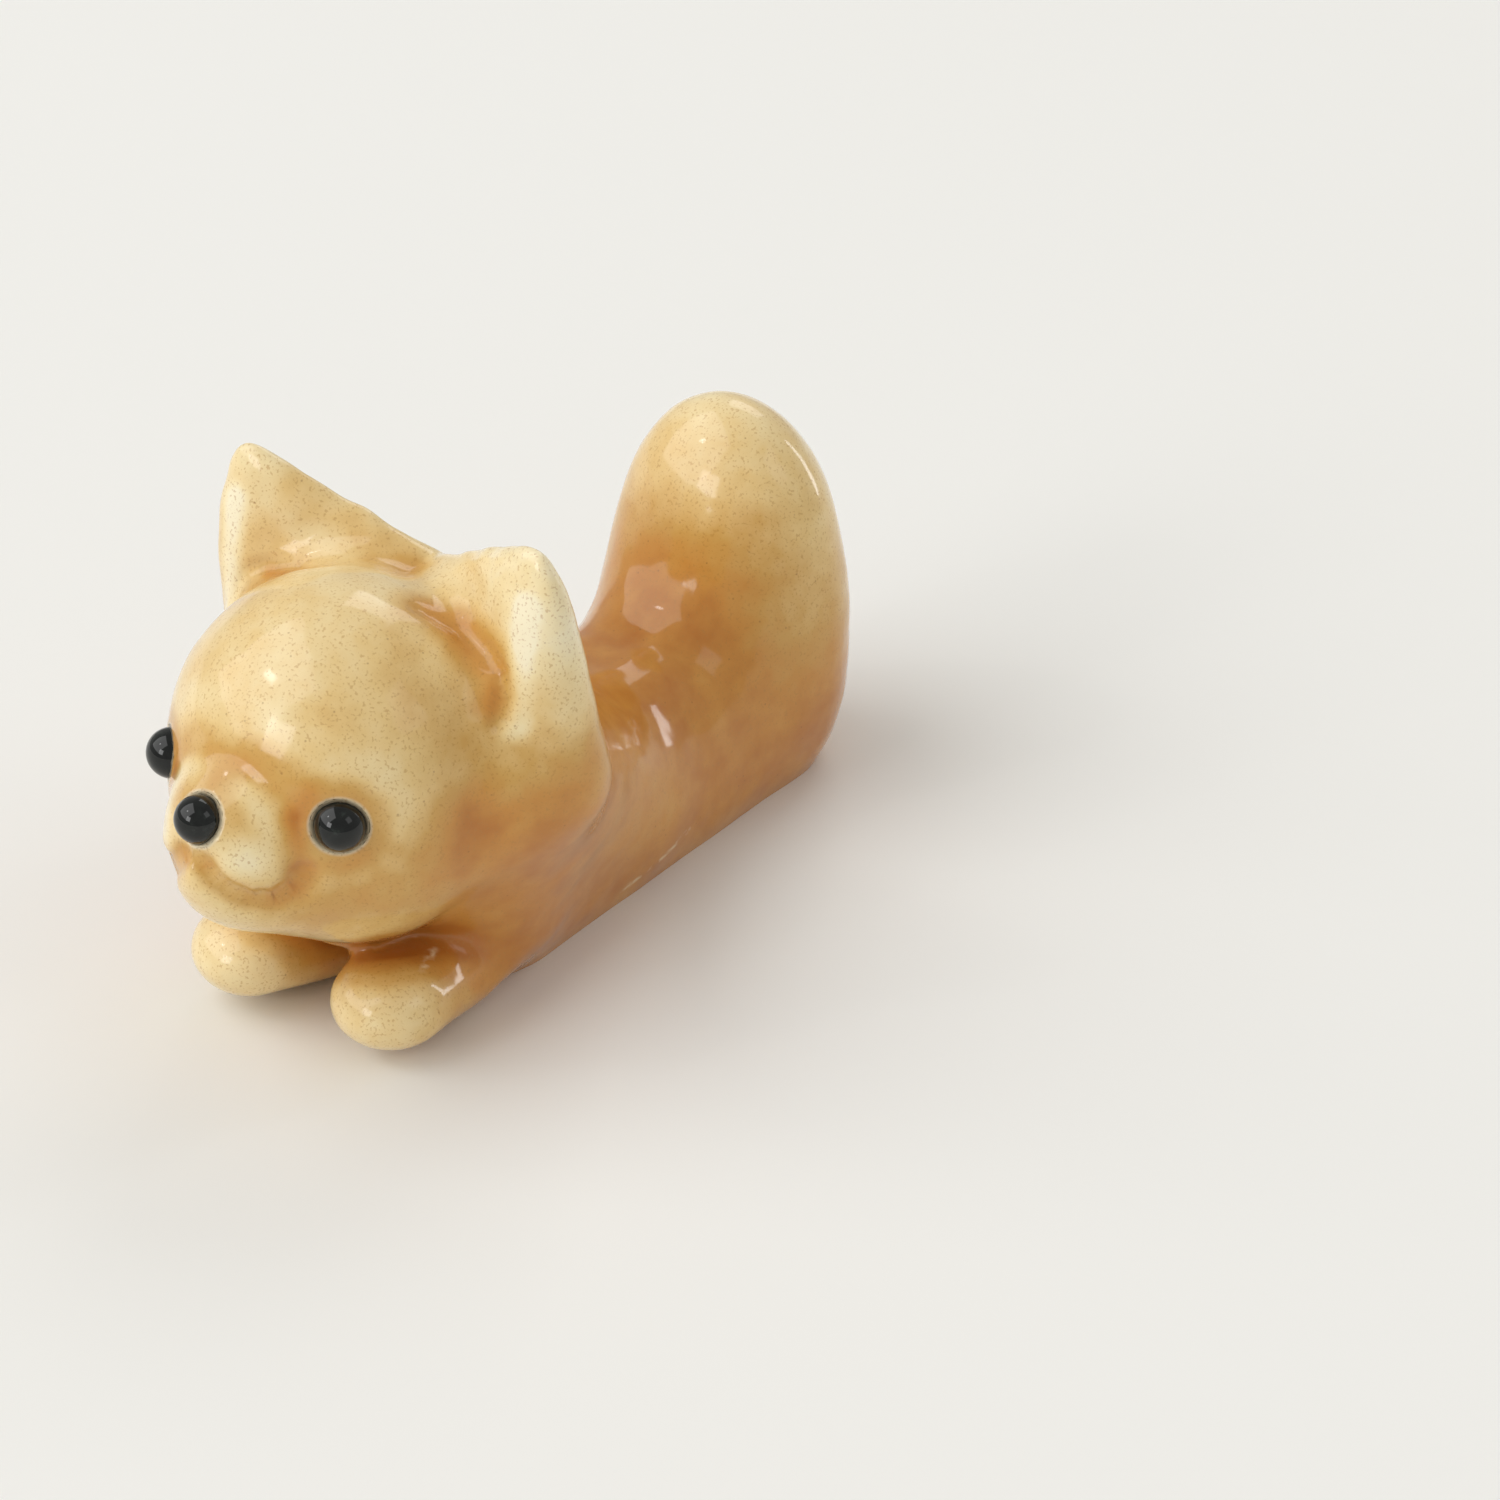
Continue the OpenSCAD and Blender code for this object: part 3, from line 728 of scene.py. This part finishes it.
# These are on one side only: pooled glaze and painted shade in the crease of the left ear and before
# the right ear, painted shade down the right ear's slope, and a painted highlight on the top of the
# left ear
one_side_painted_light = [
    # Pooled glaze and painted shade in the left ear's crease
    (ear_crease[0:5], 2.6, 0.36),
    # Pooled glaze and painted shade before the right ear
    ([(-8.9, -13.2, 27.2), (-6.6, -13.0, 28.0), (-3.2, -13.9, 29.7)], 0.9, 0.3),
    # Painted shade down the slope of the right ear
    ([(-8.0, -10.7, 32.4), (-4.8, -9.6, 30.6), (-0.9, -9.2, 28.8)], 2.4, 0.2),
    # Painted highlight: lighter on the top of the left ear
    ([(2.5, -11.0, 30.5), (5.5, -11.8, 31.5)], 2.4, -0.2),
]
print(len(glaze_runs_and_painted_light), "strokes on both sides and", len(one_side_painted_light), "on one")

# %% [markdown]
# ### Thickness of the glaze, with painted shade and highlights
# The bending and the strokes add up to one number for every vertex, from 0 for
# bare ridges to 1 for deep pools; painted shade raises it and painted highlights
# lower it. It is stored as an attribute of the mesh, so the pattern follows the
# shape, and a material can read it by its name. Two more attributes tell how far
# the next bead is, and where a thin scratch runs.

# %% Thickness of the glaze and painted light
middle_glaze, bead_pool = 0.42, 0.2
near_reach, far_reach = 0.8, 2.2
scratch_core, scratch_edge, farthest_gap = 0.08, 0.34, 6
scars = [[(5.9, -9.4, 0.4), (6.6, -8.0, 0.7), (7.4, -6.6, 1.3)],
         [(7.5, 1.8, 1.3), (7.7, 4.8, 2.1), (7.9, 8.5, 3.1)],
         [(7.6, -20.6, 5.6), (7.4, -18.4, 6.1), (6.5, -16.2, 6.0)]]


def bend(p, reach):
    """Sum of the two curvatures of the skin, per mm: above zero on a ridge, below in a hollow."""
    axes = np.eye(3) * reach
    middle = form(p)
    total = sum(form(p + a) + form(p - a) - 2 * middle for a in axes)
    return total / reach ** 2


def store(piece, name, values):
    layer = piece.data.attributes.new(name, "FLOAT", "POINT")
    layer.data.foreach_set("value", np.asarray(values, np.float32))


def ramp(x, low, high):
    """Rises softly from 0 at low to 1 at high."""
    t = np.clip((x - low) / (high - low), 0, 1)
    return t * t * (3 - 2 * t)


def thickness(p):
    x, y, z = p.T
    near, far = bend(p, near_reach), bend(p, far_reach)
    hollow = 0.2 * ramp(-near, -0.05, 0.9) + 0.1 * ramp(-far, -0.12, 0.3)
    ridge = 0.1 * ramp(near, 0.22, 0.8) + 0.12 * ramp(far, 0.2, 0.5)
    # It ran down to the trunk, less to the tail, and a little onto the paws. The darker neck and lower
    # flanks are also painted shade.
    tail_top = ramp(y, 14, 22) * ramp(z, 8, 16)
    trunk_side = ramp(-z, -25, -17) * ramp(y, -23.5, -12) * (1 - 0.8 * tail_top)
    paws = ramp(-z, -9, -7) * ramp(-y, 15, 18)
    crown = ramp(z, 25, 30) * ramp(x, -9, -6)
    amount = middle_glaze + hollow - ridge + 0.45 * trunk_side + 0.08 * paws - 0.12 * crown
    for where, strokes in ((both_sides(p), glaze_runs_and_painted_light), (p, one_side_painted_light)):
        for path, width, extra in strokes:
            amount += extra * ramp(-path_d(where, path), -width, -0.1 * width)
    return amount


for node, piece in skins.items():
    p = points_of(piece)
    gap = np.min([np.linalg.norm(p - np.array(at), axis=-1) - r for at, r in beads.values()], axis=0)
    amount = thickness(p) + bead_pool * ramp(-gap, -2.2, -0.8)
    store(piece, "thickness", np.clip(amount, 0, 1))
    store(piece, "bead_gap", np.clip(gap, 0, farthest_gap))
    scratch = np.min([path_d(p, path) for path in scars], axis=0)
    store(piece, "scar", ramp(-scratch, -scratch_edge, -scratch_core))
    print(node, "glaze", round(float(amount.min()), 2), "to", round(float(amount.max()), 2))

# %% [markdown]
# ## Materials
# One small function adds a node with its settings and links, and another turns
# the hex colours, which are written as the eye reads them, to linear light. The
# scale of a pattern comes from its real size: the millimetres from one grain to
# the next.

# %% Material tools
def linear(hex_colour):
    parts = [int(hex_colour[i:i + 2], 16) / 255 for i in (1, 3, 5)]
    return [c / 12.92 if c <= 0.04045 else ((c + 0.055) / 1.055) ** 2.4 for c in parts] + [1.0]


def add(tree, kind, sockets=(), stops=(), **settings):
    """Adds a shader node. A socket gets a number, a colour or the output that it is linked to."""
    node = tree.nodes.new("ShaderNode" + kind)
    for name, value in settings.items():
        setattr(node, name, value)
    for name, value in dict(sockets).items():
        if isinstance(value, bpy.types.NodeSocket):
            tree.links.new(value, node.inputs[name])
        else:
            node.inputs[name].default_value = value
    for i, (place, colour) in enumerate(stops):
        band = node.color_ramp.elements
        element = band[i] if i < len(band) else band.new(place)
        element.position, element.color = place, linear(colour)
    return node


def new_material(name):
    material = bpy.data.materials.new(name)
    material.use_nodes = True
    material.node_tree.nodes.clear()
    return material, material.node_tree


def per_mm(millimetres):
    """Texture scale for a pattern whose grains are so many millimetres apart."""
    return 1 / (millimetres * MM)


print("middle grey in linear light:", round(linear("#808080")[0], 3))

# %% [markdown]
# ### Honey glaze
# Stoneware dipped in a clear ash glaze with a little iron, fired until it ran.
# The iron gives the honey colour, from ivory where the glaze is thin to a
# reddish brown where it is thick. Glaze never melts quite evenly, so slow clouds
# and a finer mottle are added to the stored thickness, which also carries painted
# shade and painted highlights. A colour ramp turns the sum into a colour.

# %% Glaze colour
glaze, tree = new_material("honey_ash_glaze_on_stoneware")
place = add(tree, "TexCoord").outputs["Object"]
# The stored thickness carries painted shade and painted highlights as well as the glaze
thick, bead_gap, scar = [add(tree, "Attribute", attribute_name=name).outputs["Fac"]
                         for name in ("thickness", "bead_gap", "scar")]
clouds = add(tree, "TexNoise", {"Vector": place, "Scale": per_mm(7.5), "Detail": 2.0})
mottle = add(tree, "TexNoise", {"Vector": place, "Scale": per_mm(1.5), "Detail": 5.0})
slow = add(tree, "MapRange", {"Value": clouds.outputs[0], "From Min": 0.3, "From Max": 0.7,
                              "To Min": -0.08, "To Max": 0.08})
fine = add(tree, "MapRange", {"Value": mottle.outputs[0], "From Min": 0.25, "From Max": 0.75,
                              "To Min": -0.06, "To Max": 0.06})
drift = add(tree, "Math", {0: slow.outputs[0], 1: fine.outputs[0]}, operation="ADD")
varied_glaze_and_light = add(tree, "Math", {0: thick, 1: drift.outputs[0]}, operation="ADD", use_clamp=True)
colour = add(tree, "ValToRGB", {"Fac": varied_glaze_and_light.outputs[0]},
             [(0.0, "#F7ECCC"), (0.2, "#F3DFAE"), (0.42, "#E7C788"), (0.62, "#D2A458"),
              (0.82, "#CC8F40"), (1.0, "#B8712A")])
print("the glaze has", len(colour.color_ramp.elements), "colours from thin to thick")

# %% [markdown]
# ### Rims and specks
# The glaze draws back from a bead, so a pale rim shows round it. The iron also
# throws brown specks: a fine grain all over, and a few darker dots about 0.15 mm
# wide. The real grain is too fine to show in a render, so it is drawn as coarse
# as it needs to show.

# %% Rims and specks
# Sockets of a Mix node for colours: the share, the colour below, the colour over it
SHARE, BELOW, OVER = 0, 6, 7

rim = add(tree, "MapRange", {"Value": bead_gap, "From Min": 0.42, "From Max": 0.15, "To Max": 0.75},
          interpolation_type="SMOOTHSTEP")
pale = add(tree, "Mix", {SHARE: rim.outputs[0], BELOW: colour.outputs[0], OVER: linear("#F2E6C8")},
           data_type="RGBA")

grain = add(tree, "TexNoise", {"Vector": place, "Scale": per_mm(0.19), "Detail": 1.0})
grainy = add(tree, "MapRange", {"Value": grain.outputs[0], "From Min": 0.56, "From Max": 0.72,
                                "To Max": 0.42}, interpolation_type="SMOOTHSTEP")
sandy = add(tree, "Mix", {SHARE: grainy.outputs[0], BELOW: pale.outputs[2], OVER: linear("#B4803C")},
            data_type="RGBA")

dots = add(tree, "TexVoronoi", {"Vector": place, "Scale": per_mm(0.8)})
small = add(tree, "MapRange", {"Value": dots.outputs["Distance"], "From Min": 0.13, "From Max": 0.04,
                               "To Max": 0.45}, interpolation_type="SMOOTHSTEP")
chance = add(tree, "SeparateColor", {"Color": dots.outputs["Color"]})
few = add(tree, "Math", {0: chance.outputs[0], 1: 0.6}, operation="GREATER_THAN")
speck = add(tree, "Math", {0: small.outputs[0], 1: few.outputs[0]}, operation="MULTIPLY")
specked = add(tree, "Mix", {SHARE: speck.outputs[0], BELOW: sandy.outputs[2], OVER: linear("#8F5A2A")},
              data_type="RGBA")
print("about", round((1 - few.inputs[1].default_value) * 100), "in 100 cells get a dark dot")

# %% [markdown]
# ### Scratches and gloss
# Scratches that the glaze didn't fill show the pale clay. Under the glass the
# clay scatters light softly, and the glass on top mirrors the lamps sharply. So
# the base of the shader is rough, and a clear coat lies over it. A faint ripple
# bends the mirrored lamps, as on anything that has melted.

# %% Scratches and gloss
broken = add(tree, "TexNoise", {"Vector": place, "Scale": per_mm(0.9), "Detail": 3.0})
breaks = add(tree, "MapRange", {"Value": broken.outputs[0], "From Min": 0.42, "From Max": 0.6,
                                "To Max": 0.8})
line = add(tree, "Math", {0: scar, 1: breaks.outputs[0]}, operation="MULTIPLY")
scratched = add(tree, "Mix", {SHARE: line.outputs[0], BELOW: specked.outputs[2],
                              OVER: linear("#EED9AE")}, data_type="RGBA")

ripple = add(tree, "TexNoise", {"Vector": place, "Scale": per_mm(1.8), "Detail": 2.0})
bump = add(tree, "Bump", {"Strength": 0.2, "Distance": 0.02 * MM, "Height": ripple.outputs[0]})
shader = add(tree, "BsdfPrincipled",
             {"Base Color": scratched.outputs[2], "Roughness": 0.45, "IOR": 1.5,
              "Specular IOR Level": 0.1, "Coat Weight": 1.0, "Coat Roughness": 0.1, "Coat IOR": 1.45,
              "Normal": bump.outputs[0], "Coat Normal": bump.outputs[0]})
add(tree, "OutputMaterial", {"Surface": shader.outputs[0]})
print("honey glaze is made of", len(tree.nodes), "nodes")

# %% [markdown]
# ### Bare foot
# Glaze would stick the dog to the kiln shelf, so it is wiped off the foot. The
# bare stoneware is buff, dry and sandy: a rough surface without a coat.

# %% Bare stoneware
foot, tree = new_material("bare_sanded_stoneware")
place = add(tree, "TexCoord").outputs["Object"]
sand = add(tree, "TexNoise", {"Vector": place, "Scale": per_mm(0.5), "Detail": 5.0})
colour = add(tree, "ValToRGB", {"Fac": sand.outputs[0]}, [(0.3, "#B79672"), (0.75, "#DCC6A4")])
bump = add(tree, "Bump", {"Strength": 0.5, "Distance": 0.08 * MM, "Height": sand.outputs[0]})
shader = add(tree, "BsdfPrincipled", {"Base Color": colour.outputs[0], "Roughness": 0.9,
                                      "Normal": bump.outputs[0]})
add(tree, "OutputMaterial", {"Surface": shader.outputs[0]})

for node, piece in skins.items():
    piece.data.materials.clear()
    piece.data.materials.append(glaze)
    piece.data.materials.append(foot)
    under = flat_seats(piece, ["floor"])[0]
    piece.data.polygons.foreach_set("material_index", under.astype(np.int32))
    print(node, int(under.sum()), "bare faces on the foot")

# %% [markdown]
# ### Black glaze
# Eyes and nose are small balls of clay under a glossy black glaze. It is as
# smooth as glass, so its coat is almost a mirror, and faint grey clouds lie
# under it.

# %% Black glaze
black_glaze, tree = new_material("black_iron_glaze_on_beads")
place = add(tree, "TexCoord").outputs["Object"]
cloud = add(tree, "TexNoise", {"Vector": place, "Scale": per_mm(0.5), "Detail": 4.0})
colour = add(tree, "ValToRGB", {"Fac": cloud.outputs[0]},
             [(0.35, "#080B0A"), (0.6, "#121614"), (0.78, "#2A312D")])
bump = add(tree, "Bump", {"Strength": 0.1, "Distance": 0.01 * MM, "Height": cloud.outputs[0]})
shader = add(tree, "BsdfPrincipled",
             {"Base Color": colour.outputs[0], "Roughness": 0.4, "Specular IOR Level": 0.0,
              "Coat Weight": 1.0, "Coat Roughness": 0.02, "Coat IOR": 1.46, "Normal": bump.outputs[0]})
add(tree, "OutputMaterial", {"Surface": shader.outputs[0]})
print("black glaze is made of", len(tree.nodes), "nodes")

# %% [markdown]
# ## The beads
# The beads are pressed into the wet clay. Each is a ball, a hair smaller than its
# place in the CAD, and its back is flattened in edit mode, so that it sits in its
# dent.

# %% Beads
bead_trim = (0.99, 0.97, 0.985)
back_share, back_squash = 0.6, 0.3
for node, (at, r) in beads.items():
    bead = roll(node + "_bead", at, [share * r for share in bead_trim])
    back_y = at[1] + back_share * r
    pick(bead, points_of(bead)[:, 1] > back_y)
    bpy.ops.transform.resize(value=[1, back_squash, 1],
                             center_override=[at[0] * MM, back_y * MM, at[2] * MM])
    bpy.ops.object.mode_set(mode="OBJECT")
    deselect()
    bead.select_set(True)
    bpy.context.view_layer.objects.active = bead
    bpy.ops.object.shade_smooth()
    bead.data.materials.append(black_glaze)
    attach(bead, "root")
    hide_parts(node)
    print(node, "bead is", round(2 * r, 2), "mm wide")

# %% [markdown]
# ## Every lump takes its place
# Nothing moves on this object, so every lump rides on the one body, the root.
# Each stands for the CAD part of its name.

# %% Bodies and slots
for node, piece in skins.items():
    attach(piece, "root")
    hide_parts(node)
print(len(skins) + len(beads), "pieces ride on the root")

# %% [markdown]
# ## Floor
# A plain pale matt sheet lies under the dog. It is large enough to fill the view
# from any side.

# %% Floor
floor_size = 12000
deselect()
bpy.ops.mesh.primitive_plane_add(size=floor_size * MM, location=(0, 0, 0))
floor = bpy.context.object
floor.name = "floor_sheet"
sheet, tree = new_material("matt_white_sheet")
shader = add(tree, "BsdfDiffuse", {"Color": linear("#F1F0EC")})
add(tree, "OutputMaterial", {"Surface": shader.outputs[0]})
floor.data.materials.append(sheet)
print("the sheet is", floor_size / 1000, "m wide")

# %% [markdown]
# ## Light
# What a shiny thing shows is mostly the shape of its lamps, so large soft lamps
# stand round the dog, with one small bright lamp for a sparkle in the beads. They
# stand far off, so that the sheet is lit evenly. Together with the room's own
# light they reach the level at which a colour renders as it is written.

# %% Lamps
lamp_distance, aim_height = 2500, 12


def lamp(name, direction, width, height, watts):
    data = bpy.data.lights.new(name, "AREA")
    data.shape, data.size, data.size_y, data.energy = "RECTANGLE", width * MM, height * MM, watts
    obj = bpy.data.objects.new(name, data)
    direction = Vector(direction).normalized()
    obj.location = direction * lamp_distance * MM + Vector((0, 0, aim_height * MM))
    obj.rotation_euler = direction.to_track_quat("Z", "Y").to_euler()
    bpy.context.scene.collection.objects.link(obj)
    print(name, watts, "W")


# Direction from the dog, width and height in mm, power
lamp("key_softbox", (-0.5, -0.5, 0.7), 2600, 2600, 37.0)
lamp("small_bright_lamp", (-0.46, -0.53, 0.71), 200, 200, 1.2)
lamp("front_softbox", (-0.15, -0.9, 0.4), 800, 800, 9.0)
lamp("rear_softbox", (-0.2, 0.68, 0.71), 1200, 1000, 8.0)
lamp("right_softbox", (0.75, 0.1, 0.65), 1000, 1000, 3.0)
lamp("tall_strip", (0.4, 0.87, 0.25), 250, 1400, 6.0)

# %% Light of the room
room_colour, room_level = "#FFFEFB", 0.46
world = bpy.data.worlds.new("room")
world.use_nodes = True
bpy.context.scene.world = world
background = world.node_tree.nodes["Background"]
background.inputs["Color"].default_value = linear(room_colour)
background.inputs["Strength"].default_value = room_level
print("the room gives", room_level, "of full white")
